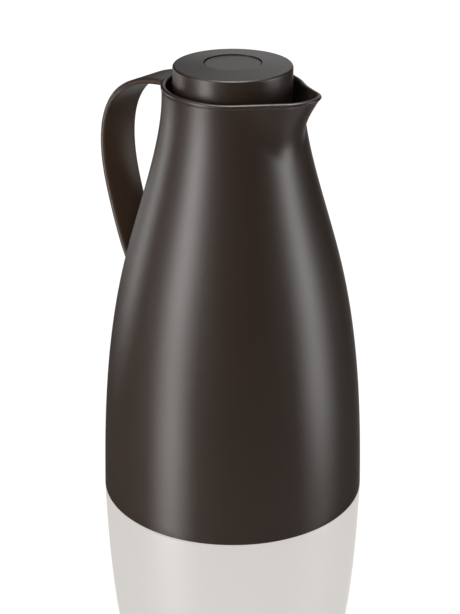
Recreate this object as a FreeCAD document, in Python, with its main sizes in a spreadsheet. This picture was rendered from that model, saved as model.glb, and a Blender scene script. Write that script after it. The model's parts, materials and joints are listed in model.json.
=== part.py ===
import FreeCAD, Part
import math
import os
import types

import Sketcher

# Thermal carafe: moulded jacket with a drawn-out spout and a strap handle, a silvered
# double-walled glass liner, and a screw-in stopper with a push button that opens a valve.
# Millimetres, +Z up, +X towards the spout, origin at the centre of the foot.

Vector = FreeCAD.Vector
UP = Vector(0, 0, 1)

# Driving sizes, in millimetres and degrees.
SIZES = {
    # Jacket
    "base_radius": 70.2,
    "neck_radius": 35.7,
    "rim_height": 225.4,
    "shell_wall": 2.2,
    "foot_gap": 0.4,
    "foot_bevel": 1.2,
    "cover_bore_depth": 16.0,
    "neck_bore_depth": 24.0,
    "lip_bead_height": 2.0,
    "lip_bead_proud": 0.2,
    "lip_round": 1.0,
    "neck_inset": 0.06,
    # Spout
    "spout_reach": 51.9,
    "spout_tip_radius": 8.5,
    "spout_half_angle": 36.0,
    "spout_rise": 2.6,
    "spout_keel_depth": 23.6,
    "spout_keel_round": 4.0,
    "spout_blend": 4.0,
    # Handle
    "handle_width": 25.0,
    "handle_thickness": 2.6,
    "handle_drop": 1.0,
    "handle_slope_angle": 15.4,
    "handle_top_run": 20.0,
    "handle_knuckle_radius": 36.0,
    "handle_knuckle_angle": 74.3,
    "handle_grip_radius": 138.0,
    "handle_grip_angle": 23.3,
    "handle_edge_round": 0.8,
    # Glass liner
    "mouth_shoulder": 4.5,
    "mouth_depth": 32.4,
    "glass_wall": 1.5,
    "vacuum_gap": 4.5,
    "liner_clearance": 5.5,
    "liner_corner_radius": 26.0,
    "lip_glass_height": 1.6,
    "exhaust_tip_radius": 4.0,
    "exhaust_tip_length": 8.0,
    "spacer_radius": 5.0,
    # Base
    "cover_plate": 3.0,
    "cover_wall": 2.5,
    "pedestal_radius": 26.0,
    "pedestal_rise": 6.0,
    "buffer_height": 13.0,
    "buffer_radius": 24.0,
    "buffer_bore": 7.0,
    "grip_radius": 20.0,
    "grip_depth": 5.0,
    "grip_bar_width": 9.0,
    "base_ring_width": 2.2,
    "base_ring_rise": 10.0,
    # Throat collar
    "throat_wall": 2.5,
    "neck_seal_height": 2.0,
    "collar_flange_overlap": 1.0,
    "collar_flange_height": 2.9,
    "collar_sleeve_height": 8.0,
    "collar_sleeve_wall": 1.4,
    "trough_width": 4.0,
    "trough_depth": 3.0,
    "trough_fall": 2.4,
    "throat_chamfer": 0.8,
    "notch_width": 18.0,
    "collar_ring_width": 1.6,
    "collar_ring_rise": 1.1,
    # Stopper
    "cap_gap": 3.5,
    "cap_height": 22.0,
    "cap_stand": 9.6,
    "cap_wall": 2.0,
    "cap_crown": 1.2,
    "cap_round": 1.2,
    "guide_wall": 2.0,
    "plug_nose_length": 17.4,
    "plug_nose_gap": 0.6,
    "plug_wall": 3.4,
    "barrel_step": 3.2,
    "plug_flange": 3.0,
    "thread_gap": 0.3,
    "thread_depth": 1.2,
    "thread_height": 9.0,
    "seat_height": 4.0,
    "seat_ledge": 4.0,
    "plug_web": 3.5,
    "plug_seal_height": 2.0,
    "window_width": 9.0,
    "window_height": 6.6,
    # Button and valve
    "button_radius": 14.3,
    "button_recess": 0.5,
    "button_plate": 2.0,
    "button_wall": 1.5,
    "button_flange": 1.3,
    "button_flange_height": 1.5,
    "button_bevel": 0.4,
    "button_travel": 5.0,
    "boss_wall": 2.5,
    "boss_length": 11.2,
    "stem_radius": 3.0,
    "stem_tail": 1.5,
    "valve_overlap": 3.0,
    "valve_plate": 3.0,
    "valve_seal_height": 0.8,
    "valve_edge": 1.5,
    "clip_height": 0.8,
    "clip_bite": 0.8,
    "clip_width": 2.6,
    "stem_seal_width": 2.4,
    "stem_seal_height": 1.8,
    "spring_radius": 9.0,
    "spring_wire": 1.0,
    # Clearances
    "fit_clearance": 0.1,
    "stem_clearance": 0.06,
    "run_clearance": 0.3,
    "stop_clearance": 0.2,
    "cut_overrun": 6.0,
}

# The jacket's outline: height as a share of the rim's, radius as a share from neck to base.
WALL_HEIGHT_SHARES = (0.0, 0.15, 0.35, 0.57, 0.72, 0.86, 0.95, 1.0)
WALL_RADIUS_SHARES = (1.0, 0.969, 0.865, 0.61, 0.336, 0.093, 0.003, 0.0)
# The flask's outline above its round bottom corner, in the same way, from mouth to body.
FLASK_HEIGHT_SHARES = (0.0, 0.18, 0.36, 0.54, 0.72, 0.86, 0.94, 1.0)
FLASK_RADIUS_SHARES = (1.0, 0.935, 0.83, 0.68, 0.48, 0.25, 0.07, 0.0)
# Levels of the spout's sections as shares from its root to its tip.
KEEL_SHARES = (0.0, 0.14, 0.3, 0.46, 0.62, 0.78, 0.92, 1.0)
KEEL_POWER_SHARE = 1.0
CHANNEL_POWER_SHARE = 0.8
# Where the lip starts to rise to the spout, and how high the spacers sit.
RISE_START_SHARE = 0.65
SPACER_HEIGHT_SHARE = 0.3

SECTION_POINTS = 60
SPACER_COUNT = 3
WINDOW_COUNT = 6
CORNER_STEPS = 3
WIRE_SIDES = 6
SPRING_TURNS = 5

doc = FreeCAD.newDocument("ThermalCarafe")
sheet = doc.addObject("Spreadsheet::Sheet", "Sizes")
for row, (alias, number) in enumerate(SIZES.items(), start=1):
    sheet.set(f"A{row}", alias)
    sheet.set(f"B{row}", str(number))
    sheet.setAlias(f"B{row}", alias)
doc.recompute()


class Dim:
    """A size that carries its value and the sheet expression that gives it."""

    def __init__(self, value, text):
        self.value = value
        self.text = text

    def __add__(self, other):
        return Dim(self.value + other.value, f"({self.text} + {other.text})")

    def __sub__(self, other):
        return Dim(self.value - other.value, f"({self.text} - {other.text})")

    def __mul__(self, factor):
        return Dim(self.value * factor, f"({self.text} * {factor})")

    def __truediv__(self, divisor):
        return Dim(self.value / divisor, f"({self.text} / {divisor})")


num = types.SimpleNamespace(**{alias: float(sheet.get(alias)) for alias in SIZES})
dim = types.SimpleNamespace(**{alias: Dim(float(sheet.get(alias)), f"Sizes.{alias}") for alias in SIZES})
ZERO = Dim(0.0, "0")

# Levels and radii that several pieces share.
pedestal_top = dim.cover_plate + dim.pedestal_rise
flask_bottom = pedestal_top + dim.buffer_height
mouth_level = dim.rim_height - dim.mouth_depth
collar_bottom = mouth_level + dim.neck_seal_height
ledge_level = dim.rim_height - dim.neck_bore_depth
collar_top = ledge_level + dim.collar_sleeve_height
trough_level = collar_top - dim.trough_depth
cover_bore = dim.base_radius - dim.shell_wall
cover_radius = cover_bore - dim.fit_clearance
neck_bore = dim.neck_radius - dim.shell_wall
sleeve_radius = neck_bore - dim.fit_clearance
throat_outside = sleeve_radius - dim.collar_sleeve_wall - dim.trough_width
throat_radius = throat_outside - dim.throat_wall
mouth_radius = throat_radius - dim.mouth_shoulder
flask_neck = mouth_radius + dim.glass_wall * 2 + dim.vacuum_gap
flask_body = cover_bore - dim.liner_clearance
cap_edge = dim.rim_height + dim.cap_stand
cap_bottom = cap_edge - dim.cap_height
cap_radius = neck_bore - dim.cap_gap
cap_bore = cap_radius - dim.cap_wall
crown_level = cap_edge + dim.cap_crown
guide_bore = dim.button_radius + dim.run_clearance
plug_radius = throat_radius - dim.thread_gap
thread_core = plug_radius - dim.thread_depth
barrel_radius = plug_radius - dim.barrel_step
nose_radius = mouth_radius - dim.plug_nose_gap
chamber_radius = nose_radius - dim.plug_wall
seat_radius = chamber_radius - dim.seat_ledge
valve_radius = seat_radius + dim.valve_overlap
shoulder_level = collar_bottom + dim.run_clearance + dim.fit_clearance
seat_level = shoulder_level - dim.plug_nose_length
thread_top = shoulder_level + dim.thread_height
flange_top = cap_bottom + dim.plug_flange
chamber_top = flange_top - dim.plug_web
button_top = crown_level - dim.button_recess
button_under = button_top - dim.button_plate
boss_radius = dim.stem_radius + dim.boss_wall
boss_bottom = button_under - dim.boss_length
flange_level = button_under - dim.button_plate - dim.button_travel - dim.button_flange_height
stem_bore = dim.stem_radius + dim.stem_clearance
seal_top = seat_level - dim.stop_clearance
plate_top = seal_top - dim.valve_seal_height
plate_bottom = plate_top - dim.valve_plate
clip_bottom = plate_bottom - dim.clip_height
stem_bottom = clip_bottom - dim.stem_tail


def plane_of(body, role):
    """Origin plane or axis of a body, found by its role."""
    return next(item for item in body.Origin.OriginFeatures if item.Role == role)


def new_body(label):
    body = doc.addObject("PartDesign::Body", label)
    body.Label = label
    return body


def new_sketch(body, name, role):
    sketch = body.newObject("Sketcher::SketchObject", name)
    sketch.AttachmentSupport = [(plane_of(body, role), "")]
    sketch.MapMode = "FlatFace"
    return sketch


def bind(sketch, constraint, size):
    """Adds a constraint and ties its value to the sheet."""
    index = sketch.addConstraint(constraint)
    sketch.setExpression(f"Constraints[{index}]", size.text)


def place_corner(sketch, line, across, along):
    """Holds a line's first end at its two distances from the sketch's origin."""
    if across is ZERO:
        sketch.addConstraint(Sketcher.Constraint("PointOnObject", line, 1, -2))
    else:
        bind(sketch, Sketcher.Constraint("DistanceX", -1, 1, line, 1, across.value), across)
    if along is ZERO:
        sketch.addConstraint(Sketcher.Constraint("PointOnObject", line, 1, -1))
    else:
        bind(sketch, Sketcher.Constraint("DistanceY", -1, 1, line, 1, along.value), along)


def outline_sketch(body, name, role, corners):
    """Closed outline through corners, each held by its distances from the origin."""
    sketch = new_sketch(body, name, role)
    spots = [Vector(across.value, along.value, 0) for across, along in corners]
    lines = [
        sketch.addGeometry(Part.LineSegment(start, end), False)
        for start, end in zip(spots, spots[1:] + spots[:1])
    ]
    for line, after in zip(lines, lines[1:] + lines[:1]):
        sketch.addConstraint(Sketcher.Constraint("Coincident", line, 2, after, 1))
    for line, (across, along) in zip(lines, corners):
        place_corner(sketch, line, across, along)
    return sketch


def turned_body(label, corners):
    """Body turned about Z from an outline of radius and height pairs."""
    body = new_body(label)
    sketch = outline_sketch(body, f"{label}_outline", "XZ_Plane", corners)
    turn = body.newObject("PartDesign::Revolution", f"{label}_turn")
    turn.Profile = sketch
    turn.ReferenceAxis = (sketch, ["V_Axis"])
    turn.Angle = 360
    doc.recompute()
    return body


def ring_body(label, inner, outer, bottom, top):
    """Flat ring of rectangular section."""
    return turned_body(label, [(inner, bottom), (outer, bottom), (outer, top), (inner, top)])


def round_circles(body, radius, spots):
    """Rounds the circular edges of a turned body that lie at the given radius and height pairs."""
    base = body.Tip
    names = []
    for index, edge in enumerate(base.Shape.Edges, start=1):
        if not isinstance(edge.Curve, Part.Circle):
            continue
        for across, along in spots:
            same_radius = abs(edge.Curve.Radius - across.value) < num.fit_clearance
            same_height = abs(edge.Curve.Center.z - along.value) < num.fit_clearance
            if same_radius and same_height:
                names.append(f"Edge{index}")
    fillet = body.newObject("PartDesign::Fillet", f"{body.Label}_round")
    fillet.Base = (base, names)
    fillet.setExpression("Radius", radius.text)
    doc.recompute()


def cut_pocket(body, name, sketch, length, reverse):
    """Pocket that has to take material away."""
    before = body.Shape.Volume
    pocket = body.newObject("PartDesign::Pocket", name)
    pocket.Profile = sketch
    pocket.Type = "Length"
    pocket.Reversed = reverse
    pocket.setExpression("Length", length.text)
    doc.recompute()
    if body.Shape.Volume >= before:
        raise RuntimeError(f"{name} cuts nothing")
    return pocket


def shape_feature(label, shape):
    feature = doc.addObject("Part::Feature", label)
    feature.Label = label
    feature.Shape = shape
    feature.Placement = FreeCAD.Placement()
    return feature


def lines_through(points):
    return [Part.LineSegment(start, end).toShape() for start, end in zip(points, points[1:])]


def turned_solid(edges):
    """Solid turned about Z from a closed chain of edges in the XZ plane."""
    face = Part.Face(Part.Wire(edges))
    return Part.Solid(face.revolve(Vector(), UP, 360))


# Jacket


def wall_curve(inset):
    """Spline of the jacket's wall whose parameter is the height, moved in by the inset."""
    heights = [share * num.rim_height for share in WALL_HEIGHT_SHARES]
    span = num.base_radius - num.neck_radius
    radii = [num.neck_radius + share * span - inset for share in WALL_RADIUS_SHARES]
    curve = Part.BSplineCurve()
    curve.interpolate(Points=[Vector(r, 0, z) for r, z in zip(radii, heights)], Parameters=heights)
    return curve


def wall_edges(curve, low, high):
    """Edges of a wall curve between two heights, split where its outline points lie."""
    levels = [share * num.rim_height for share in WALL_HEIGHT_SHARES]
    cuts = [low] + [level for level in levels if low < level < high] + [high]
    return [curve.toShape(start, end) for start, end in zip(cuts, cuts[1:])]


WALL = wall_curve(0)
tip_level = num.rim_height + num.spout_rise
keel_root = num.rim_height - num.spout_keel_depth
blank_top = tip_level + num.cut_overrun
half_angle = math.radians(num.spout_half_angle)


def beak_radius(angle, reach, tip):
    """Polar radius of a beak: two straight flanks that run on to a round tip at the reach."""
    centre = reach - tip
    touch = math.atan2(tip * math.cos(half_angle), centre + tip * math.sin(half_angle))
    if angle <= touch:
        return centre * math.cos(angle) + math.sqrt(tip**2 - (centre * math.sin(angle)) ** 2)
    flank = centre * math.sin(half_angle) + tip
    nearest = math.pi / 2 - half_angle
    if angle <= nearest:
        return flank / math.sin(half_angle + angle)
    return flank * math.cos(angle - nearest)


def blended(first, second, blend):
    """Greater of two radii, with a rounded change over from one to the other."""
    if blend <= 0:
        return max(first, second)
    nearness = max(blend - abs(first - second), 0) / blend
    return max(first, second) + nearness**2 * blend / 4


def beaked_wire(level, round_radius, reach, tip, blend):
    """Closed horizontal spline: a circle drawn out to a beak towards +X."""
    points = []
    for step in range(SECTION_POINTS):
        turn = math.pi + 2 * math.pi * step / SECTION_POINTS
        angle = abs(math.atan2(math.sin(turn), math.cos(turn)))
        radius = blended(round_radius, beak_radius(angle, reach, tip), blend)
        points.append(Vector(radius * math.cos(turn), radius * math.sin(turn), level))
    curve = Part.BSplineCurve()
    curve.interpolate(Points=points, PeriodicFlag=True)
    return Part.Wire(curve.toShape())


def keel_wire(share, inset):
    """Outer section of the neck at a share of the spout's height, moved in by the inset."""
    level = keel_root + share * (blank_top - keel_root)
    climb = (level - keel_root) / (tip_level - keel_root)
    wall = WALL.value(min(level, num.rim_height)).x
    reach = wall + (num.spout_reach - num.neck_radius) * climb**KEEL_POWER_SHARE
    tip = num.spout_tip_radius + num.spout_keel_round * max(1 - climb, 0)
    return beaked_wire(level, wall - inset, reach - inset, tip - inset, num.spout_blend * climb)


def channel_wire(share):
    """Inner section of the neck: the pouring channel rises from the trough to the spout's lip."""
    level = trough_level.value + share * (blank_top - trough_level.value)
    climb = (level - trough_level.value) / (tip_level - trough_level.value)
    bore = neck_bore.value + num.neck_inset
    reach = bore + (num.spout_reach - num.shell_wall - bore) * climb**CHANNEL_POWER_SHARE
    tip = num.spout_tip_radius - num.shell_wall + num.spout_keel_round * max(1 - climb, 0)
    return beaked_wire(level, bore, reach, tip, num.spout_blend * climb)


def lip_side(drop, below):
    """Block above or below the lip's line, which runs level and then sweeps up to the spout."""
    level = num.rim_height - drop
    start = RISE_START_SHARE * num.neck_radius
    run = num.spout_reach - start
    sweep = (run**2 + num.spout_rise**2) / (2 * num.spout_rise)
    end_angle = math.asin((run + num.cut_overrun) / sweep)
    middle, end = (
        Vector(start + sweep * math.sin(turn), 0, level + sweep * (1 - math.cos(turn)))
        for turn in (end_angle / 2, end_angle)
    )
    back = Vector(-num.base_radius, 0, level)
    far = 0 if below else blank_top + num.cut_overrun
    edges = lines_through([Vector(end.x, 0, end.z), Vector(end.x, 0, far), Vector(back.x, 0, far), back])
    edges += lines_through([back, Vector(start, 0, level)])
    edges.append(Part.Arc(Vector(start, 0, level), middle, end).toShape())
    side = Part.Face(Part.Wire(Part.__sortEdges__(edges)))
    width = 2 * num.base_radius
    return side.extrude(Vector(0, width, 0)).translated(Vector(0, -width / 2, 0))


def jacket_blank():
    """The jacket's outside as a filled solid, up to the lip's bead."""
    foot = num.foot_gap
    bevel_top = foot + num.foot_bevel
    edges = lines_through([
        Vector(0, 0, keel_root),
        Vector(0, 0, foot),
        WALL.value(foot) - Vector(num.foot_bevel, 0, 0),
        WALL.value(bevel_top),
    ])
    edges += wall_edges(WALL, bevel_top, keel_root)
    edges += lines_through([WALL.value(keel_root), Vector(0, 0, keel_root)])
    lower = turned_solid(edges)
    neck = Part.makeLoft([keel_wire(share, num.neck_inset) for share in KEEL_SHARES], True)
    return neck.cut(lip_side(num.lip_bead_height, False)).fuse(lower)


def lip_bead():
    """Filled plate of the beaded lip: the spout's plan, a little proud of the wall."""
    lip_share = (tip_level - keel_root) / (blank_top - keel_root)
    plan = Part.Face(keel_wire(lip_share, -num.lip_bead_proud))
    plan.translate(Vector(0, 0, num.cut_overrun))
    prism = plan.extrude(Vector(0, 0, -2 * num.cut_overrun - num.spout_rise))
    return prism.cut(lip_side(num.lip_bead_height, True)).cut(lip_side(0, False))


def jacket_hollow():
    """The jacket's inside: bore for the base cover, wall, collar ledge, neck bore and channel."""
    inner = wall_curve(num.shell_wall)
    bore_top = num.cover_bore_depth
    ledge = ledge_level.value
    trough = trough_level.value
    edges = lines_through([
        Vector(0, 0, trough),
        Vector(0, 0, 0),
        Vector(cover_bore.value, 0, 0),
        Vector(cover_bore.value, 0, bore_top),
        inner.value(bore_top),
    ])
    edges += wall_edges(inner, bore_top, ledge)
    edges += lines_through([
        inner.value(ledge),
        Vector(neck_bore.value, 0, ledge),
        Vector(neck_bore.value, 0, trough),
        Vector(0, 0, trough),
    ])
    channel = Part.makeLoft([channel_wire(share) for share in KEEL_SHARES], True)
    return turned_solid(edges).fuse(channel)


def rounded_lip(shape):
    """Rounds the long edges of the lip's top, inside and outside."""
    top = [
        edge for edge in shape.Edges
        if edge.Length > num.neck_radius / 2
        and all(edge.valueAt(spot).z > num.rim_height - num.fit_clearance
                for spot in (edge.FirstParameter, edge.LastParameter))
    ]
    return shape.makeFillet(num.lip_round, top)


blank = jacket_blank()
bead = lip_bead()
hollow = jacket_hollow()
shape_feature("outer_shell", blank.cut(hollow).fuse(rounded_lip(bead.cut(hollow))))


# Handle


def strap_side(inset):
    """Side line of the strap from the neck out and down to the jacket, moved in by the inset."""
    slope = math.radians(-num.handle_slope_angle)
    start = Vector(-num.neck_radius + num.shell_wall, 0, num.rim_height - num.handle_drop)
    start += Vector(-math.sin(slope), 0, -math.cos(slope)) * inset
    heading = slope
    run = num.handle_top_run + num.shell_wall
    spot = start + Vector(-math.cos(heading), 0, math.sin(heading)) * run
    edges = lines_through([start, spot])
    for radius, turn in (
        (num.handle_knuckle_radius - inset, num.handle_knuckle_angle),
        (num.handle_grip_radius - inset, num.handle_grip_angle),
    ):
        centre = spot + Vector(-math.sin(heading), 0, -math.cos(heading)) * radius
        halfway = heading - math.radians(turn) / 2
        heading -= math.radians(turn)
        middle = centre + Vector(math.sin(halfway), 0, math.cos(halfway)) * radius
        end = centre + Vector(math.sin(heading), 0, math.cos(heading)) * radius
        edges.append(Part.Arc(spot, middle, end).toShape())
        spot = end
    run = (-num.neck_radius - spot.x) / -math.cos(heading)
    end = spot + Vector(-math.cos(heading), 0, math.sin(heading)) * run
    edges += lines_through([spot, end])
    return edges, start, end


def strap_handle():
    outer, outer_start, outer_end = strap_side(0)
    inner, inner_start, inner_end = strap_side(num.handle_thickness)
    ends = lines_through([outer_start, inner_start]) + lines_through([outer_end, inner_end])
    side = Part.Face(Part.Wire(Part.__sortEdges__(outer + inner + ends)))
    strap = side.extrude(Vector(0, num.handle_width, 0)).translated(Vector(0, -num.handle_width / 2, 0))
    long_edges = [edge for edge in strap.Edges if abs(edge.BoundBox.YLength) < num.fit_clearance
                  and edge.Length > num.handle_thickness * 2]
    return strap.makeFillet(num.handle_edge_round, long_edges).cut(blank).cut(bead)


shape_feature("handle", strap_handle())


# Glass liner


def flask_solid(body_radius, neck_radius, bottom, top, corner):
    """Filled bottle: flat bottom, round corner, and a spline that draws in to the neck."""
    start = bottom + corner
    heights = [start + share * (mouth_level.value - start) for share in FLASK_HEIGHT_SHARES]
    radii = [neck_radius + share * (body_radius - neck_radius) for share in FLASK_RADIUS_SHARES]
    side = Part.BSplineCurve()
    side.interpolate(
        Points=[Vector(r, 0, z) for r, z in zip(radii, heights)],
        InitialTangent=UP,
        FinalTangent=UP,
    )
    turns = [math.pi / 2 * step / CORNER_STEPS for step in range(CORNER_STEPS + 1)]
    centre = Vector(body_radius - corner, 0, start)
    rounded = [centre + Vector(math.sin(turn), 0, -math.cos(turn)) * corner for turn in turns]
    edges = lines_through([Vector(0, 0, top), Vector(0, 0, bottom)] + rounded)
    knots = side.getKnots()
    edges += [side.toShape(low, high) for low, high in zip(knots, knots[1:])]
    edges += lines_through([
        Vector(neck_radius, 0, heights[-1]),
        Vector(neck_radius, 0, top),
        Vector(0, 0, top),
    ])
    return turned_solid(edges)


def flask_pair():
    """Inner and outer flask, fused at the mouth, and the pads that hold them apart."""
    glass = num.glass_wall
    space = num.vacuum_gap
    top = mouth_level.value + num.cut_overrun
    skins = []
    for depth in (0, glass, glass + space, 2 * glass + space):
        skins.append(flask_solid(
            flask_body.value - depth,
            flask_neck.value - depth,
            flask_bottom.value + depth,
            top,
            num.liner_corner_radius - depth,
        ))
    lip_bottom = mouth_level.value - num.lip_glass_height
    above_mouth = Part.makeBox(4 * num.base_radius, 4 * num.base_radius, num.rim_height,
                               Vector(-2 * num.base_radius, -2 * num.base_radius, mouth_level.value))
    above_lip = above_mouth.translated(Vector(0, 0, -num.lip_glass_height))
    tip_end = Vector(0, 0, flask_bottom.value - num.exhaust_tip_length)
    tip = Part.makeCone(num.exhaust_tip_radius / 2, num.exhaust_tip_radius, num.exhaust_tip_length, tip_end)
    outer = skins[0].cut(skins[1]).cut(above_lip).fuse(tip).removeSplitter()
    lip = Part.makeCylinder(flask_neck.value, num.lip_glass_height, Vector(0, 0, lip_bottom))
    inner = skins[2].cut(above_lip).fuse(lip).cut(skins[3]).removeSplitter()
    level = flask_bottom.value + SPACER_HEIGHT_SHARE * (mouth_level.value - flask_bottom.value)
    pads = []
    for step in range(SPACER_COUNT):
        turn = 2 * math.pi * step / SPACER_COUNT
        rod = Part.makeCylinder(num.spacer_radius, num.base_radius, Vector(0, 0, level),
                                Vector(math.cos(turn), math.sin(turn), 0))
        pads.append(rod.common(skins[1]).cut(skins[2]))
    return inner, outer, Part.makeCompound(pads)


inner_flask, outer_flask, spacer_pads = flask_pair()
shape_feature("liner_inner_flask", inner_flask)
shape_feature("liner_outer_flask", outer_flask)
shape_feature("vacuum_spacers", spacer_pads)
ring_body("liner_buffer", dim.buffer_bore, dim.buffer_radius, pedestal_top, flask_bottom)
ring_body("neck_seal", throat_radius, flask_neck - dim.fit_clearance, mouth_level, collar_bottom)


# Base cover


def base_cover():
    wall_top = dim.cover_bore_depth - dim.fit_clearance
    groove_bottom = dim.base_ring_rise
    groove_top = dim.base_ring_rise + dim.base_ring_width + dim.fit_clearance
    groove_floor = cover_bore - dim.base_ring_width
    body = turned_body("base_cover", [
        (ZERO, ZERO),
        (cover_radius, ZERO),
        (cover_radius, groove_bottom),
        (groove_floor, groove_bottom),
        (groove_floor, groove_top),
        (cover_radius, groove_top),
        (cover_radius, wall_top),
        (groove_floor - dim.cover_wall, wall_top),
        (groove_floor - dim.cover_wall, dim.cover_plate),
        (dim.pedestal_radius, dim.cover_plate),
        (dim.pedestal_radius, pedestal_top),
        (ZERO, pedestal_top),
    ])
    sketch = new_sketch(body, "grip_circle", "XY_Plane")
    sketch.addGeometry(Part.Circle(Vector(), UP, dim.grip_radius.value), False)
    sketch.addConstraint(Sketcher.Constraint("Coincident", 0, 3, -1, 1))
    bind(sketch, Sketcher.Constraint("Radius", 0, dim.grip_radius.value), dim.grip_radius)
    cut_pocket(body, "grip_recess", sketch, dim.grip_depth, True)
    half_length = dim.grip_radius + dim.fit_clearance
    half_width = dim.grip_bar_width / 2
    low = (ZERO - half_length, ZERO - half_width)
    corners = [low, (half_length, low[1]), (half_length, half_width), (low[0], half_width)]
    bar = body.newObject("PartDesign::Pad", "grip_bar")
    bar.Profile = outline_sketch(body, "grip_bar_outline", "XY_Plane", corners)
    bar.setExpression("Length", dim.grip_depth.text)
    doc.recompute()


base_cover()


ring_body(
    "base_seal",
    cover_bore - dim.base_ring_width,
    cover_bore,
    dim.base_ring_rise,
    dim.base_ring_rise + dim.base_ring_width,
)


# Throat collar


def throat_collar():
    groove_bottom = ledge_level + dim.collar_ring_rise
    ring_top = groove_bottom + dim.collar_ring_width
    groove_top = ring_top + dim.fit_clearance
    groove_floor = neck_bore - dim.collar_ring_width
    flange_radius = neck_bore + dim.collar_flange_overlap
    flange_level_top = ledge_level - dim.fit_clearance
    flange_level_low = flange_level_top - dim.collar_flange_height
    sleeve_inside = sleeve_radius - dim.collar_sleeve_wall
    fall = trough_level - dim.trough_fall
    body = turned_body("throat_collar", [
        (throat_radius, collar_bottom),
        (throat_outside, collar_bottom),
        (throat_outside, flange_level_low),
        (flange_radius, flange_level_low),
        (flange_radius, flange_level_top),
        (sleeve_radius, flange_level_top),
        (sleeve_radius, groove_bottom),
        (groove_floor, groove_bottom),
        (groove_floor, groove_top),
        (sleeve_radius, groove_top),
        (sleeve_radius, collar_top),
        (sleeve_inside, collar_top),
        (sleeve_inside, trough_level),
        (throat_radius + dim.throat_chamfer, fall),
        (throat_radius, fall - dim.throat_chamfer),
    ])
    half = dim.notch_width / 2
    high = collar_top + dim.cut_overrun
    corners = [(ZERO - half, trough_level), (half, trough_level), (half, high), (ZERO - half, high)]
    sketch = outline_sketch(body, "spout_notch_outline", "YZ_Plane", corners)
    cut_pocket(body, "spout_notch", sketch, sleeve_radius + dim.cut_overrun, True)
    ring_body("collar_seal", groove_floor, neck_bore, groove_bottom, ring_top)


throat_collar()


# Stopper


def stopper_cap():
    guide_top = crown_level
    guide_outer = guide_bore + dim.guide_wall
    guide_bottom = flange_level + dim.button_flange_height + dim.stop_clearance
    under_edge = cap_edge - dim.cap_wall
    under_crown = crown_level - dim.cap_wall
    body = turned_body("stopper_cap", [
        (cap_bore, cap_bottom),
        (cap_radius, cap_bottom),
        (cap_radius, cap_edge),
        (cap_radius - dim.cap_round - dim.fit_clearance, cap_edge),
        (guide_bore, guide_top),
        (guide_bore, guide_bottom),
        (guide_outer, guide_bottom),
        (guide_outer, under_crown),
        (cap_bore, under_edge),
    ])
    round_circles(body, dim.cap_round, [(cap_radius, cap_edge)])


def stopper_plug():
    flange_radius = cap_bore - dim.fit_clearance
    seat_top = seat_level + dim.seat_height
    body = turned_body("stopper_plug", [
        (seat_radius, seat_level),
        (nose_radius, seat_level),
        (nose_radius, shoulder_level),
        (thread_core, shoulder_level),
        (thread_core, thread_top),
        (barrel_radius, thread_top),
        (barrel_radius, cap_bottom),
        (flange_radius, cap_bottom),
        (flange_radius, flange_top),
        (stem_bore, flange_top),
        (stem_bore, chamber_top),
        (chamber_radius, chamber_top),
        (chamber_radius, seat_top),
        (seat_radius, seat_top),
    ])
    low = thread_top + dim.fit_clearance
    half = dim.window_width / 2
    high = low + dim.window_height
    corners = [(ZERO - half, low), (half, low), (half, high), (ZERO - half, high)]
    sketch = outline_sketch(body, "window_outline", "YZ_Plane", corners)
    window = cut_pocket(body, "window", sketch, barrel_radius + dim.cut_overrun, True)
    pattern = body.newObject("PartDesign::PolarPattern", "windows")
    pattern.Originals = [window]
    pattern.Axis = (plane_of(body, "Z_Axis"), [""])
    pattern.Angle = 360
    pattern.Occurrences = WINDOW_COUNT
    body.Tip = pattern
    doc.recompute()


stopper_cap()
stopper_plug()
seal_outer = throat_radius - dim.thread_gap * 2
ring_body(
    "plug_seal",
    nose_radius + dim.fit_clearance,
    seal_outer,
    shoulder_level - dim.fit_clearance - dim.plug_seal_height,
    shoulder_level - dim.fit_clearance,
)
ring_body(
    "stem_seal",
    stem_bore,
    stem_bore + dim.stem_seal_width,
    chamber_top - dim.stem_seal_height,
    chamber_top,
)


# Button and valve


def push_button():
    wall_inside = dim.button_radius - dim.button_wall
    rim_radius = dim.button_radius + dim.button_flange
    stem_top = button_top - dim.button_plate * 2
    flange_above = flange_level + dim.button_flange_height
    turned_body("button", [
        (ZERO, button_top),
        (ZERO, stem_top),
        (stem_bore, stem_top),
        (stem_bore, boss_bottom),
        (boss_radius, boss_bottom),
        (boss_radius, button_under),
        (wall_inside, button_under),
        (wall_inside, flange_level),
        (rim_radius, flange_level),
        (rim_radius, flange_above),
        (dim.button_radius, flange_above),
        (dim.button_radius, button_top - dim.button_bevel),
        (dim.button_radius - dim.button_bevel, button_top),
    ])


def valve_pieces():
    groove_radius = dim.stem_radius - dim.clip_bite
    stem_top = button_top - dim.button_plate * 2 - dim.fit_clearance
    turned_body("valve_stem", [
        (ZERO, stem_bottom),
        (dim.stem_radius, stem_bottom),
        (dim.stem_radius, clip_bottom),
        (groove_radius, clip_bottom),
        (groove_radius, plate_bottom),
        (dim.stem_radius, plate_bottom),
        (dim.stem_radius, stem_top),
        (ZERO, stem_top),
    ])
    turned_body("valve_plate", [
        (stem_bore, plate_bottom),
        (seat_radius, plate_bottom),
        (valve_radius, plate_bottom + dim.valve_edge),
        (valve_radius, plate_top),
        (stem_bore, plate_top),
    ])
    ring_body("valve_seal", stem_bore, valve_radius - dim.valve_seal_height, plate_top, seal_top)
    clip_inside = groove_radius + dim.stem_clearance
    clip = ring_body("stem_clip", clip_inside, clip_inside + dim.clip_width, clip_bottom, plate_bottom)
    half = groove_radius - dim.clip_bite / 2
    corners = [
        (ZERO - half, clip_bottom - dim.clip_height),
        (half, clip_bottom - dim.clip_height),
        (half, plate_bottom + dim.clip_height),
        (ZERO - half, plate_bottom + dim.clip_height),
    ]
    sketch = outline_sketch(clip, "clip_mouth_outline", "YZ_Plane", corners)
    cut_pocket(clip, "clip_mouth", sketch, clip_inside + dim.clip_width + dim.cut_overrun, True)


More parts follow.
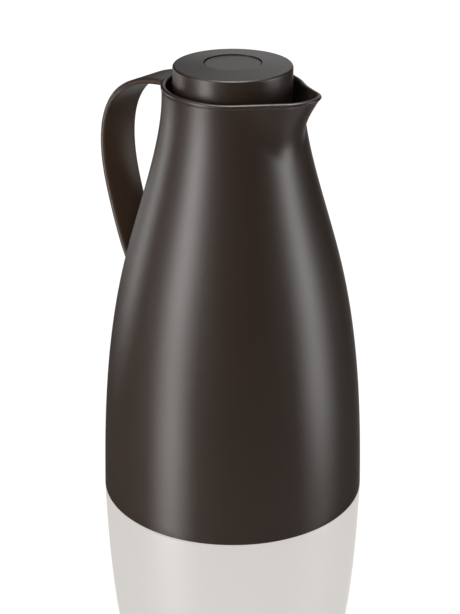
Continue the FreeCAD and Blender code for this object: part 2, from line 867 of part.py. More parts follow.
def arc_from(start, tangent, end):
    """Arc from start to end that leaves along the tangent."""
    chord = end - start
    lean = tangent.getAngle(chord) / 2
    reach = start.distanceToPoint(end) / 2 / math.cos(lean)
    middle = start + (tangent + chord.normalize()).normalize() * reach
    return Part.Arc(start, middle, end).toShape()


def coil_spring():
    """Compression spring: one wire on a helix of tangent arcs, two to each quarter turn."""
    low = flange_top.value + num.spring_wire / 2
    high = button_under.value - num.spring_wire / 2
    rise = (high - low) / (2 * math.pi * SPRING_TURNS)
    spots = []
    tangents = []
    for step in range(4 * SPRING_TURNS + 1):
        turn = step * math.pi / 2
        across = num.spring_radius * math.cos(turn)
        along = num.spring_radius * math.sin(turn)
        spots.append(Vector(across, along, low + rise * turn))
        heading = Vector(-along, across, rise)
        tangents.append(heading.normalize())
    edges = []
    for start, end, leave, arrive in zip(spots, spots[1:], tangents, tangents[1:]):
        chord = end - start
        along = chord.dot(leave + arrive)
        spread = 2 * (1 - leave.dot(arrive))
        reach = (math.sqrt(along**2 + spread * chord.dot(chord)) - along) / spread
        joint = (start + leave * reach + end - arrive * reach) / 2
        middle_tangent = (end - arrive * reach - start - leave * reach).normalize()
        edges.append(arc_from(start, leave, joint))
        edges.append(arc_from(joint, middle_tangent, end))
    gap = rise * 2 * math.pi - num.spring_wire
    print("button spring least gap between turns", round(gap, 2))
    outward = Vector(1, 0, 0)
    upward = tangents[0].cross(outward)
    corners = []
    for step in range(WIRE_SIDES + 1):
        turn = 2 * math.pi * step / WIRE_SIDES
        lean = outward * math.cos(turn) + upward * math.sin(turn)
        corners.append(spots[0] + lean * (num.spring_wire / 2))
    wire_end = Part.makePolygon(corners)
    return Part.Wire(edges).makePipeShell([wire_end], True, False)


push_button()
valve_pieces()
shape_feature("button_spring", coil_spring())


# Check and write every piece

doc.recompute()
for item in doc.Objects:
    if "Invalid" in item.State or "Error" in item.State:
        raise RuntimeError(f"{item.Label} failed: {item.State}")
os.makedirs("parts", exist_ok=True)
for item in doc.Objects:
    if item.TypeId not in ("PartDesign::Body", "Part::Feature"):
        continue
    if item.Shape.isNull() or not item.Shape.isValid():
        raise RuntimeError(f"{item.Label} has no valid shape")
    item.Shape.exportStep(f"parts/{item.Label}.step")
    print(item.Label, len(item.Shape.Solids), round(item.Shape.Volume))
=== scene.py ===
import json
import math

import bmesh
import bpy
import numpy as np
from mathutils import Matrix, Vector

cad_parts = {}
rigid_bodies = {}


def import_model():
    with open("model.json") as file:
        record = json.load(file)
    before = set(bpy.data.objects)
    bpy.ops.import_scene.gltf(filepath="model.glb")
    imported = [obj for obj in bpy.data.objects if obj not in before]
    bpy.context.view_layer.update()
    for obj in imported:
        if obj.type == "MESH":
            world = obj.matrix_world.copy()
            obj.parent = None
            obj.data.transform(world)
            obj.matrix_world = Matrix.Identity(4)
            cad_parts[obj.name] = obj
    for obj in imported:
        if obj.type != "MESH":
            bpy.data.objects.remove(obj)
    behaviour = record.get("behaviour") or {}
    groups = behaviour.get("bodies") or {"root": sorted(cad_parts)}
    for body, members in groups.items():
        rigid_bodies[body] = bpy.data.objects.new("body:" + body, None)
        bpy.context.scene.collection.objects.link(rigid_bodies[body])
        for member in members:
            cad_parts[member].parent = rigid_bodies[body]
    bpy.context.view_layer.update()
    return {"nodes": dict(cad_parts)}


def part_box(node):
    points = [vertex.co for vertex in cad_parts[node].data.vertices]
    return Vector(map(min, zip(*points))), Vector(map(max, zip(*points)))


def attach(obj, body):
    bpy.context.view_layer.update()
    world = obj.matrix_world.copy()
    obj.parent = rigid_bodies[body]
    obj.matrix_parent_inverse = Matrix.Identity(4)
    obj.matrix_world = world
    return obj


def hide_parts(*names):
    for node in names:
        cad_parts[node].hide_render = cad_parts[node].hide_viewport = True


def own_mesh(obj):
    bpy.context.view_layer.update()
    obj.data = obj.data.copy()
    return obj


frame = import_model()

bl_info = {
    "name": "Thermal carafe",
    "version": (1, 0, 0),
    "blender": (4, 5, 0),
    "location": "3D View > Sidebar > Carafe",
    "description": "Dresses the packed carafe in its finishes and sets up its studio",
    "category": "Object",
}

MM = 0.001


# Settings


def hex_colour(text):
    """Linear RGBA of an sRGB hex value."""
    parts = [int(text[i:i + 2], 16) / 255 for i in (1, 3, 5)]
    return [p / 12.92 if p <= 0.04045 else ((p + 0.055) / 1.055) ** 2.4 for p in parts] + [1.0]


def colour_setting(name, text, description):
    """Colour property whose default is an sRGB hex value."""
    return bpy.props.FloatVectorProperty(
        name=name, description=description, subtype="COLOR", size=4, min=0, max=1,
        default=hex_colour(text))


def length_setting(name, millimetres, description):
    """Length property whose default is given in millimetres."""
    return bpy.props.FloatProperty(
        name=name, description=description, unit="LENGTH", subtype="DISTANCE",
        default=millimetres * MM)


def angle_setting(name, degrees, description):
    """Angle property whose default is given in degrees."""
    return bpy.props.FloatProperty(
        name=name, description=description, subtype="ANGLE", default=math.radians(degrees))


class CarafeFinishes(bpy.types.PropertyGroup):
    """Colours and pattern sizes of the carafe's materials."""

    jacket_dark: colour_setting("Jacket, dark", "#251A12", "Darker flow of the jacket's plastic")
    jacket_light: colour_setting("Jacket, light", "#291D15", "Lighter flow of the jacket's plastic")
    inner_dark: colour_setting("Inner, dark", "#1D1917", "Darker flow of the collar, plug and valve")
    inner_light: colour_setting("Inner, light", "#211D1B", "Lighter flow of the collar, plug and valve")
    silver: colour_setting("Silvering", "#D9DBDD", "Silvered glass of the liner")
    silicone: colour_setting("Seals", "#A9A6A1", "Moulded silicone of the seals")
    steel: colour_setting("Steel", "#BFC1C3", "Spring wire and clip")
    fibre: colour_setting("Spacers", "#B9B2A6", "Pressed fibre pads of the liner")
    foam: colour_setting("Buffer", "#2C2B2A", "Foam rubber under the liner")
    flow: length_setting("Flow", 45.0, "Spacing of the slow colour change in the moulded plastic")
    grain: length_setting("Grain", 0.7, "Spacing of the eroded grain on the moulded plastic")
    grain_depth: length_setting("Grain depth", 0.05, "Depth of the eroded grain")
    wave: length_setting("Wave", 14.0, "Spacing of the waves in the blown glass")
    wave_depth: length_setting("Wave depth", 0.4, "Depth of the waves in the blown glass")
    bloom: length_setting("Bloom", 1.5, "Spacing of the bloom on the silicone")
    milkiness: length_setting("Milkiness", 1.0, "How far light goes into the silicone")
    wire_line: length_setting("Wire line", 0.3, "Spacing of the drawn steel's uneven gloss")
    fibre_pore: length_setting("Fibre pore", 0.8, "Size of the pores in the fibre pads")
    foam_pore: length_setting("Foam pore", 0.6, "Size of the pores in the foam rubber")


class CarafeForms(bpy.types.PropertyGroup):
    """Sizes of the jacket, the strap, the threads and the spring."""

    base_radius: length_setting("Base radius", 70.2, "Radius of the jacket at its foot")
    neck_radius: length_setting("Neck radius", 35.7, "Radius of the jacket at its rim")
    rim_height: length_setting("Rim height", 225.4, "Height of the rim at the handle")
    wall: length_setting("Wall", 2.2, "Thickness of the jacket")
    foot_gap: length_setting("Foot gap", 0.4, "Gap between the floor and the jacket's foot")
    foot_round: length_setting("Foot round", 0.5, "Radius of the foot's outer edge")
    cover_bore: length_setting("Cover bore", 68.0, "Radius of the bore for the base cover")
    cover_depth: length_setting("Cover depth", 16.0, "Height of the bore for the base cover")
    neck_bore: length_setting("Neck bore", 33.5, "Radius of the bore for the throat collar")
    ledge_height: length_setting("Ledge", 201.4, "Height of the ledge under the throat collar")
    trough_height: length_setting("Trough", 206.4, "Height where the pouring channel starts")
    spout_reach: length_setting("Spout reach", 52.1, "Distance from the axis to the spout's tip")
    spout_tip: length_setting("Spout tip", 15.0, "Radius of the spout's tip in plan")
    spout_swell: length_setting("Spout swell", 5.9, "How much rounder the spout is at its root")
    spout_depth: length_setting("Spout depth", 20.6, "Height of the spout below the rim")
    spout_half_angle: angle_setting("Spout angle", 32.5, "Half angle between the spout's flanks")
    root_blend: length_setting("Root blend", 12.0, "Soft change from the wall to the spout's keel")
    flank_blend: length_setting("Flank blend", 2.0, "Soft change from the wall to the flanks")
    lip_rise: length_setting("Lip rise", 1.9, "Rise of the lip from the rim to the spout's tip")
    lip_dip: length_setting("Lip dip", 1.0, "Dip of the lip beside the spout")
    lip_round: length_setting("Lip round", 1.1, "Height of the lip's rounded top")
    bead_height: length_setting("Bead height", 2.3, "Height of the bead round the lip")
    bead_proud: length_setting("Bead proud", 0.4, "How far the bead stands out")
    strap_width: length_setting("Strap width", 25.0, "Width of the strap handle")
    strap_thickness: length_setting("Strap thickness", 3.0, "Thickness of the strap handle")
    strap_root: length_setting("Strap root", 1.6, "Depth of the strap's ends in the jacket's wall")
    thread_lead: length_setting("Thread lead", 24.0, "Rise of the stopper's thread in one turn")
    thread_width: length_setting("Thread width", 2.6, "Height of one thread ridge at its root")
    thread_start: length_setting("Thread start", 197.0, "Height where both threads start")
    plug_thread_end: length_setting("Plug thread end", 203.0, "Height where the plug's thread ends")
    throat_thread_end: length_setting("Throat thread end", 201.8, "Height where the throat's thread ends")
    plug_core: length_setting("Plug core", 24.0, "Radius of the plug under its thread")
    plug_crest: length_setting("Plug crest", 25.1, "Radius of the plug's thread")
    throat_bore: length_setting("Throat bore", 25.5, "Radius of the throat behind its thread")
    throat_crest: length_setting("Throat crest", 24.5, "Radius of the throat's thread")
    coil_radius: length_setting("Coil radius", 9.0, "Radius of the button spring's wire line")
    coil_wire: length_setting("Coil wire", 1.0, "Thickness of the button spring's wire")
    button_travel: length_setting("Button travel", 5.0, "How far the button goes down")


class CarafeStudio(bpy.types.PropertyGroup):
    """Camera and floor."""

    azimuth: angle_setting("Azimuth", 40.0, "Camera's turn about the carafe")
    pitch: angle_setting("Pitch", 24.288, "Camera's tilt down")
    distance: length_setting("Distance", 790.03, "Level distance from the carafe's axis to the camera")
    height: length_setting("Height", 459.87, "Camera's height above the floor")
    aside: length_setting("Aside", 1.45, "Camera's move to its left, which frames the carafe")
    lens: bpy.props.FloatProperty(
        name="Lens", description="Focal length for the sensor's long side", subtype="DISTANCE_CAMERA",
        default=96.36)
    floor_white: colour_setting("Floor", "#707070", "Colour of the floor")
    floor_light: colour_setting("Floor light", "#FFFBF6", "Colour of the light from under the floor")
    floor_mirror: bpy.props.FloatProperty(
        name="Floor gloss", description="Share of the floor's light that is a mirror image",
        subtype="FACTOR", min=0, max=1, default=0.6)


# Helpers for meshes and materials


def add_node(tree, kind, props=None, values=None, links=None):
    """Adds a node, sets its attributes and input values, and links other nodes' outputs to it."""
    made = tree.nodes.new(kind)
    for name, value in (props or {}).items():
        setattr(made, name, value)
    for name, value in (values or {}).items():
        made.inputs[name].default_value = value
    for name, source in (links or {}).items():
        tree.links.new(source, made.inputs[name])
    return made


def new_material(name):
    """Material with an empty node tree, and that tree."""
    material = bpy.data.materials.new(name)
    material.use_nodes = True
    material.node_tree.nodes.clear()
    return material, material.node_tree


def dress(material, *names):
    """Gives CAD nodes a material."""
    for name in names:
        mesh = frame["nodes"][name].data
        mesh.materials.clear()
        mesh.materials.append(material)


def smooth_mesh(name, points, faces):
    """Mesh with smooth faces."""
    mesh = bpy.data.meshes.new(name)
    mesh.from_pydata(points, [], faces)
    mesh.polygons.foreach_set("use_smooth", np.ones(len(faces), bool))
    mesh.update()
    return mesh


def surface_mesh(name, grid, close_u=False, close_v=False):
    """Mesh of quads over a grid of points, an array of rows by columns by three."""
    rows, columns, _ = grid.shape
    index = np.arange(rows * columns).reshape(rows, columns)
    if close_u:
        index = np.vstack([index, index[:1]])
    if close_v:
        index = np.hstack([index, index[:, :1]])
    corners = [index[:-1, :-1], index[:-1, 1:], index[1:, 1:], index[1:, :-1]]
    return smooth_mesh(name, grid.reshape(-1, 3), np.stack(corners, axis=-1).reshape(-1, 4))


def joined_tubes(name, grids):
    """One mesh from several tubes, each a grid closed round its section, with its ends filled."""
    points = []
    faces = []
    for grid in grids:
        rows, columns, _ = grid.shape
        base = sum(len(part) for part in points)
        index = base + np.arange(rows * columns).reshape(rows, columns)
        points.append(grid.reshape(-1, 3))
        after = np.roll(index, -1, axis=1)
        quads = np.stack([index[:-1], after[:-1], after[1:], index[1:]], axis=-1).reshape(-1, 4)
        faces += quads.tolist() + [index[0][::-1].tolist(), index[-1].tolist()]
    return smooth_mesh(name, np.vstack(points), faces)


def face_outward(mesh):
    """Turns the faces of a closed mesh outward, where its signed volume says that they face in."""
    measured = bmesh.new()
    measured.from_mesh(mesh)
    if measured.calc_volume(signed=True) < 0:
        mesh.flip_normals()
    measured.free()
    return mesh


def new_object(mesh):
    """Object in the scene that has the mesh's name."""
    made = bpy.data.objects.new(mesh.name, mesh)
    bpy.context.scene.collection.objects.link(made)
    return made


def spline(knots, values):
    """Cubic spline through points, with end slopes from the cubics through four points at each end."""
    steps = np.diff(knots)
    rates = np.diff(values) / steps
    rows = np.zeros((len(knots), len(knots)))
    right = np.zeros(len(knots))
    for end, near in ((0, slice(0, 4)), (-1, slice(-4, None))):
        rows[end, end] = 1.0
        cubic = np.polyfit(knots[near] - knots[end], values[near], 3)
        right[end] = cubic[2]
    for i in range(1, len(knots) - 1):
        rows[i, i - 1:i + 2] = steps[i], 2 * (steps[i - 1] + steps[i]), steps[i - 1]
        right[i] = 3 * (rates[i - 1] * steps[i] + rates[i] * steps[i - 1])
    slopes = np.linalg.solve(rows, right)

    def value(spot):
        i = np.clip(np.searchsorted(knots, spot) - 1, 0, len(steps) - 1)
        share = (spot - knots[i]) / steps[i]
        rest = 1 - share
        bend = rest * (slopes[i] - rates[i]) - share * (slopes[i + 1] - rates[i])
        return values[i] + share * (values[i + 1] - values[i]) + share * rest * steps[i] * bend

    return value


def smooth_max(first, second, blend):
    """Greater of two values, with a parabola over the change from one to the other."""
    nearness = np.maximum(blend - np.abs(first - second), 0) / blend
    return np.maximum(first, second) + nearness**2 * blend / 4


def shares(steps):
    """Column of evenly spaced shares from nought to one, to spread over a row of turns."""
    return np.linspace(0, 1, steps)[:, None]


# Jacket

# Outline of the wall: height as a share of the rim's, radius as a share from the neck's to the base's.
WALL_HEIGHT_SHARES = np.array([0.0, 0.15, 0.35, 0.57, 0.72, 0.86, 0.95, 1.0])
WALL_RADIUS_SHARES = np.array([1.0, 0.969, 0.865, 0.61, 0.336, 0.093, 0.003, 0.0])
# Columns of points round the jacket, and how much they crowd towards the spout.
JACKET_COLUMNS = 288
COLUMN_CROWDING = 0.6
# Rows of points up the jacket's outside, over its lip and down its inside.
FOOT_ROWS = 7
BODY_ROWS = 48
SPOUT_ROWS = 56
BEAD_ROWS = 9
LIP_ROWS = 15
CHANNEL_ROWS = 26
INSIDE_ROWS = 24
# The spout's root: its spread about the keel, and how many blends under it the keel and its rows start.
ROOT_SPREAD = math.radians(25.0)
KEEL_START_BLENDS = 2.0
SPOUT_START_BLENDS = 2.5
# The lip: where it starts to rise towards the spout, where it dips, and how often its height is refined.
LIP_START = 15.0 * MM
DIP_TURN = math.radians(42.0)
DIP_SPREAD = math.radians(39.0)
LIP_ROUNDS = 4
# The pouring channel's reach grows with this power of the climb, which ends a little past the tip.
CHANNEL_POWER = 0.8
CHANNEL_TOP_SHARE = 1.1
# Share of the bead's height over which it swells out.
BEAD_SWELL_SHARE = 0.45


def beak(turn, reach, tip, half):
    """Polar radius of a beak in plan: two straight flanks that meet in a round tip at the reach."""
    centre = reach - tip
    touch = np.arctan2(tip * np.cos(half), centre + tip * np.sin(half))
    flank = centre * np.sin(half) + tip
    nearest = np.pi / 2 - half
    nose = centre * np.cos(turn) + np.sqrt(np.maximum(tip**2 - (centre * np.sin(turn)) ** 2, 0))
    side = flank / np.sin(half + np.minimum(turn, nearest))
    past = flank * np.cos(turn - nearest)
    return np.where(turn <= touch, nose, np.where(turn <= nearest, side, past))


def jacket_wall(forms):
    """Radius of the jacket's plain outside, as a spline in the height."""
    radii = forms.neck_radius + WALL_RADIUS_SHARES * (forms.base_radius - forms.neck_radius)
    return spline(WALL_HEIGHT_SHARES * forms.rim_height, radii)


def jacket_grid(forms):
    """Points of the jacket, up its outside, over the lip and down its inside, for every turn.

    Outside, the radius is the greater of a spline in the height and a beak whose reach grows in a
    straight line with the height, blended softly. The lip's height is the rim's plus a rise along
    the spout minus a bell-shaped dip beside it. Inside the neck, a second beak makes the pouring
    channel, and its reach grows with a power of the height.
    """
    wall = jacket_wall(forms)
    root = forms.rim_height - forms.spout_depth
    tip_level = forms.rim_height + forms.lip_rise
    keel_slope = (forms.spout_reach - wall(root)) / (tip_level - root)
    keel_start = root - KEEL_START_BLENDS * forms.root_blend
    spread = np.linspace(0, 2 * np.pi, JACKET_COLUMNS, endpoint=False)
    turn = spread - COLUMN_CROWDING * np.sin(spread)
    off = np.minimum(turn, 2 * np.pi - turn)
    nearness = np.exp(-(off / ROOT_SPREAD) ** 2)
    blend = forms.flank_blend + (forms.root_blend - forms.flank_blend) * nearness

    def outside(level):
        keel = np.maximum(level, keel_start)
        reach = wall(root) + (keel - root) * keel_slope
        swell = np.clip((tip_level - keel) / (tip_level - root), 0, 1)
        spout = beak(off, reach, forms.spout_tip + forms.spout_swell * swell, forms.spout_half_angle)
        return smooth_max(wall(np.minimum(level, forms.rim_height)), spout, blend)

    def channel(level):
        climb = (level - forms.trough_height) / (tip_level - forms.trough_height)
        climb = np.clip(climb, 0, CHANNEL_TOP_SHARE)
        run = forms.spout_reach - forms.wall - forms.neck_bore
        tip = forms.spout_tip - forms.wall + forms.spout_swell * np.maximum(1 - climb, 0)
        trough = beak(off, forms.neck_bore + run * climb**CHANNEL_POWER, tip, forms.spout_half_angle)
        change = forms.bead_proud + (forms.flank_blend - forms.bead_proud) * climb
        return smooth_max(forms.neck_bore, trough, change)

    lip = np.full_like(off, forms.rim_height)
    dip = forms.lip_dip * np.exp(-((off - DIP_TURN) / DIP_SPREAD) ** 2)
    for _ in range(LIP_ROUNDS):
        along = (outside(lip) * np.cos(off) - LIP_START) / (forms.spout_reach - LIP_START)
        lip = forms.rim_height + forms.lip_rise * np.clip(along, 0, 1) - dip

    lean = np.pi / 2 * shares(FOOT_ROWS)
    foot = forms.foot_gap + forms.foot_round * (1 - np.cos(lean))
    foot_top = forms.foot_gap + forms.foot_round
    middle = root - SPOUT_START_BLENDS * forms.root_blend
    body = foot_top + (middle - foot_top) * shares(BODY_ROWS)[1:]
    bead_start = lip - forms.bead_height
    spout = middle + (bead_start - middle) * shares(SPOUT_ROWS)[1:]
    crest = lip - forms.lip_round
    bead_share = shares(BEAD_ROWS)[1:]
    bead = bead_start + (crest - bead_start) * bead_share
    swell = np.sin(np.minimum(bead_share / BEAD_SWELL_SHARE, 1) * np.pi / 2) ** 2
    outer = outside(crest) + forms.bead_proud
    inner = channel(crest)
    over = np.pi * shares(LIP_ROWS)[1:-1]
    lip_radius = (outer + inner) / 2 + (outer - inner) / 2 * np.cos(over)
    trough = crest + (forms.trough_height - crest) * shares(CHANNEL_ROWS)
    inside = forms.ledge_height + (forms.cover_depth - forms.ledge_height) * shares(INSIDE_ROWS)
    bands = (
        (forms.cover_bore, forms.foot_gap),
        (wall(foot) - forms.foot_round * (1 - np.sin(lean)), foot),
        (wall(body), body),
        (outside(spout), spout),
        (outside(bead) + forms.bead_proud * swell, bead),
        (lip_radius, crest + forms.lip_round * np.sin(over)),
        (channel(trough), trough),
        (forms.neck_bore, forms.ledge_height),
        (wall(inside) - forms.wall, inside),
        (forms.cover_bore, forms.cover_depth),
    )
    rows = [np.stack(np.broadcast_arrays(*band, off[None])[:2], axis=-1) for band in bands]
    radius, level = np.moveaxis(np.vstack(rows), -1, 0)
    return np.stack([radius * np.cos(turn), radius * np.sin(turn), level], axis=-1)


# Strap handle

# Outer face of the strap from the neck to the body: distance behind the axis and height.
STRAP_ROUTE = np.array([
    (31.0, 222.3), (40.0, 222.4), (49.2, 221.2), (61.0, 217.4), (71.4, 210.0), (78.6, 198.7),
    (81.9, 182.0), (80.6, 164.5), (76.0, 145.7), (70.0, 127.0), (61.5, 108.0), (52.0, 90.0),
]) * MM
STRAP_STEPS = 160
STRAP_ROUND_STEPS = 9
STRAP_FLAT_STEPS = 17


def strap_grid(forms):
    """Points of the strap handle: a flat oval section carried along a spline through its route.

    The section is two half circles joined by straight lines. Points that would go through the
    jacket's wall are moved out to a set depth in it.
    """
    lengths = np.concatenate([[0], np.cumsum(np.hypot(*np.diff(STRAP_ROUTE, axis=0).T))])
    along = np.linspace(0, lengths[-1], STRAP_STEPS)
    route = np.stack([spline(lengths, STRAP_ROUTE[:, axis])(along) for axis in (0, 1)], axis=-1)
    run = np.gradient(route, along, axis=0)
    inward = np.stack([run[:, 1], -run[:, 0]], axis=-1) / np.linalg.norm(run, axis=1)[:, None]
    half = forms.strap_thickness / 2
    lean = np.linspace(-np.pi / 2, np.pi / 2, STRAP_ROUND_STEPS)
    straight = forms.strap_width / 2 - half
    flat = np.linspace(straight, -straight, STRAP_FLAT_STEPS)[1:-1]
    ends = straight + half * np.cos(lean)
    across = np.concatenate([ends, flat, -ends, -flat])
    level = np.ones_like(flat)
    depth = half + half * np.concatenate([np.sin(lean), level, -np.sin(lean), -level])
    spot = route[:, None, :] + inward[:, None, :] * depth[None, :, None]
    grid = np.stack([-spot[..., 0], np.broadcast_to(across, spot.shape[:2]), spot[..., 1]], axis=-1)
    radius = np.hypot(grid[..., 0], grid[..., 1])
    least = jacket_wall(forms)(grid[..., 2]) - forms.strap_root
    grid[..., :2] *= (np.maximum(radius, least) / radius)[..., None]
    return grid


# Threads

THREAD_STARTS = 3
THREAD_STEPS = 48
# Section of a thread ridge: share of its depth and of its height.
THREAD_SECTION = np.array([
    (0.0, -0.5), (0.75, -0.32), (1.0, -0.2), (1.0, 0.2), (0.75, 0.32), (0.0, 0.5), (-0.3, 0.0),
])
# A ridge's section grows to its full size this many times faster than a half sine along it.
THREAD_GROWTH = 4.0


def thread_grid(forms, start, root, crest, low, high, shift):
    """Points of one thread ridge: a rounded trapezium carried along a right-hand helix.

    The radius runs from the root to the crest and back over the ridge's height, times a half sine
    along the helix that is cut flat, so the ridge ends in nothing. The height grows with the turn
    by the lead.
    """
    along = shares(THREAD_STEPS)
    middle = low + (high - low) * along
    turn = 2 * np.pi * ((middle - low + shift) / forms.thread_lead + start / THREAD_STARTS)
    growth = np.minimum(np.sin(np.pi * along) * THREAD_GROWTH, 1)
    depth, height = THREAD_SECTION.T
    radius = root + (crest - root) * depth * growth
    level = middle + forms.thread_width * height * growth
    return np.stack([radius * np.cos(turn), radius * np.sin(turn), level], axis=-1)


# Button spring

COIL_TURNS = 5.0
COIL_END_TURNS = 0.75
COIL_STEPS = 360
WIRE_STEPS = 12


def coil_grid(forms, low, high):
    """Points of the button spring: a round wire carried along a helix that lies flat at both ends."""
    along = COIL_TURNS * shares(COIL_STEPS)
    rise = np.clip((along - COIL_END_TURNS) / (COIL_TURNS - 2 * COIL_END_TURNS), 0, 1)
    wire = forms.coil_wire / 2
    middle = low + wire + (high - low - 2 * wire) * rise
    turn = 2 * np.pi * along
    lean = np.linspace(0, 2 * np.pi, WIRE_STEPS, endpoint=False)
    radius = forms.coil_radius + wire * np.cos(lean)
    level = middle + wire * np.sin(lean)
    return np.stack([radius * np.cos(turn), radius * np.sin(turn), level], axis=-1)


# Materials

POLYPROPYLENE_IOR = 1.49
SILICONE_IOR = 1.41
JACKET_ROUGHNESS = 0.4
INNER_ROUGHNESS = 0.45
ROUGHNESS_SWING = 0.03
FIBRE_ROUGHNESS = 0.95
FOAM_ROUGHNESS = 0.9
# A pore's depth as a share of its size.
PORE_DEPTH_SHARE = 1 / 3
# Places of the colour sockets on a Mix node, whose names are not unique.
MIX_FIRST, MIX_SECOND, MIX_RESULT = 6, 7, 2


def moulded_polypropylene(name, dark, light, roughness):
    """Moulded polypropylene from a spark-eroded mould: even deep colour, soft highlights, fine grain."""
    finishes = bpy.context.scene.carafe_finishes
    material, tree = new_material(name)
    spot = add_node(tree, "ShaderNodeTexCoord").outputs["Object"]
    # The slow flow of the melt shows as a faint change of tone.
    flow = add_node(tree, "ShaderNodeTexNoise", values={
        "Scale": 1 / finishes.flow, "Detail": 2.0}, links={"Vector": spot})
    tone = add_node(tree, "ShaderNodeMix", {"data_type": "RGBA"}, values={
        MIX_FIRST: dark, MIX_SECOND: light}, links={"Factor": flow.outputs["Fac"]})
    # The real grain is about 0.2 mm: it is drawn coarser so that it shows in the render.
    grain = add_node(tree, "ShaderNodeTexNoise", values={
        "Scale": 1 / finishes.grain, "Detail": 3.0}, links={"Vector": spot})
    gloss = add_node(tree, "ShaderNodeMapRange", values={
        "From Min": 0.3, "From Max": 0.7,
        "To Min": roughness - ROUGHNESS_SWING, "To Max": roughness + ROUGHNESS_SWING,
    }, links={"Value": grain.outputs["Fac"]})
    bump = add_node(tree, "ShaderNodeBump", values={
        "Strength": 0.12, "Distance": finishes.grain_depth}, links={"Height": grain.outputs["Fac"]})
    shader = add_node(tree, "ShaderNodeBsdfPrincipled", values={"IOR": POLYPROPYLENE_IOR}, links={
        "Base Color": tone.outputs[MIX_RESULT], "Roughness": gloss.outputs["Result"],
        "Normal": bump.outputs["Normal"]})
    add_node(tree, "ShaderNodeOutputMaterial", links={"Surface": shader.outputs["BSDF"]})
    return material


def silvered_glass():
    """Blown glass silvered on its vacuum side: a mirror with slow waves from blowing."""
    finishes = bpy.context.scene.carafe_finishes
    material, tree = new_material("silvered_blown_glass")
    spot = add_node(tree, "ShaderNodeTexCoord").outputs["Object"]
    wave = add_node(tree, "ShaderNodeTexNoise", values={
        "Scale": 1 / finishes.wave, "Detail": 1.0}, links={"Vector": spot})
    bump = add_node(tree, "ShaderNodeBump", values={
        "Strength": 0.2, "Distance": finishes.wave_depth}, links={"Height": wave.outputs["Fac"]})
    haze = add_node(tree, "ShaderNodeMapRange", values={
        "To Min": 0.04, "To Max": 0.12}, links={"Value": wave.outputs["Fac"]})
    shader = add_node(tree, "ShaderNodeBsdfPrincipled", values={
        "Base Color": finishes.silver, "Metallic": 1.0, "Coat Weight": 0.6, "Coat Roughness": 0.03,
    }, links={"Normal": bump.outputs["Normal"], "Roughness": haze.outputs["Result"]})
    add_node(tree, "ShaderNodeOutputMaterial", links={"Surface": shader.outputs["BSDF"]})
    return material


def moulded_silicone():
    """Moulded silicone rubber: matt, slightly milky, with a fine bloom."""
    finishes = bpy.context.scene.carafe_finishes
    material, tree = new_material("moulded_silicone_rubber")
    spot = add_node(tree, "ShaderNodeTexCoord").outputs["Object"]
    bloom = add_node(tree, "ShaderNodeTexNoise", values={
        "Scale": 1 / finishes.bloom, "Detail": 2.0}, links={"Vector": spot})
    gloss = add_node(tree, "ShaderNodeMapRange", values={
        "To Min": 0.42, "To Max": 0.6}, links={"Value": bloom.outputs["Fac"]})
    shader = add_node(tree, "ShaderNodeBsdfPrincipled", values={
        "Base Color": finishes.silicone, "IOR": SILICONE_IOR,
        "Subsurface Weight": 0.15, "Subsurface Scale": finishes.milkiness,
    }, links={"Roughness": gloss.outputs["Result"]})
    add_node(tree, "ShaderNodeOutputMaterial", links={"Surface": shader.outputs["BSDF"]})
    return material


def drawn_steel():
    """Drawn stainless steel wire: bright, with a gloss that changes finely from the drawing."""
    finishes = bpy.context.scene.carafe_finishes
    material, tree = new_material("drawn_stainless_steel")
    spot = add_node(tree, "ShaderNodeTexCoord").outputs["Object"]
    lines = add_node(tree, "ShaderNodeTexNoise", values={
        "Scale": 1 / finishes.wire_line, "Detail": 2.0}, links={"Vector": spot})
    gloss = add_node(tree, "ShaderNodeMapRange", values={
        "To Min": 0.2, "To Max": 0.36}, links={"Value": lines.outputs["Fac"]})
    shader = add_node(tree, "ShaderNodeBsdfPrincipled", values={
        "Base Color": finishes.steel, "Metallic": 1.0}, links={"Roughness": gloss.outputs["Result"]})
    add_node(tree, "ShaderNodeOutputMaterial", links={"Surface": shader.outputs["BSDF"]})
    return material


def porous_pad(name, colour, pore, roughness):
    """Open matt material, fibre or foam: no gloss, with pores of the given size."""
    material, tree = new_material(name)
    spot = add_node(tree, "ShaderNodeTexCoord").outputs["Object"]
    pores = add_node(tree, "ShaderNodeTexVoronoi", values={"Scale": 1 / pore}, links={"Vector": spot})
    bump = add_node(tree, "ShaderNodeBump", values={
        "Strength": 0.5, "Distance": pore * PORE_DEPTH_SHARE}, links={
        "Height": pores.outputs["Distance"]})
    shader = add_node(tree, "ShaderNodeBsdfPrincipled", values={
        "Base Color": colour, "Roughness": roughness}, links={"Normal": bump.outputs["Normal"]})
    add_node(tree, "ShaderNodeOutputMaterial", links={"Surface": shader.outputs["BSDF"]})
    return material


# Operators for the pieces


class CARAFE_OT_dress_jacket(bpy.types.Operator):
    """Make the jacket and its strap handle, and finish the cap, the button and the base cover"""

    bl_idname = "carafe.dress_jacket"
    bl_label = "Dress jacket"

    def execute(self, context):
        finishes = context.scene.carafe_finishes
        forms = context.scene.carafe_forms
        plastic = moulded_polypropylene(
            "satin_moulded_polypropylene", finishes.jacket_dark, finishes.jacket_light, JACKET_ROUGHNESS)
        dress(plastic, "stopper_cap", "button", "base_cover")
        for mesh, node in (
            (surface_mesh("jacket", jacket_grid(forms), True, True), "outer_shell"),
            (joined_tubes("strap", [strap_grid(forms)]), "handle"),
        ):
            piece = new_object(face_outward(mesh))
            piece.data.materials.append(plastic)
            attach(piece, "carafe")
            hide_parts(node)
        return {"FINISHED"}


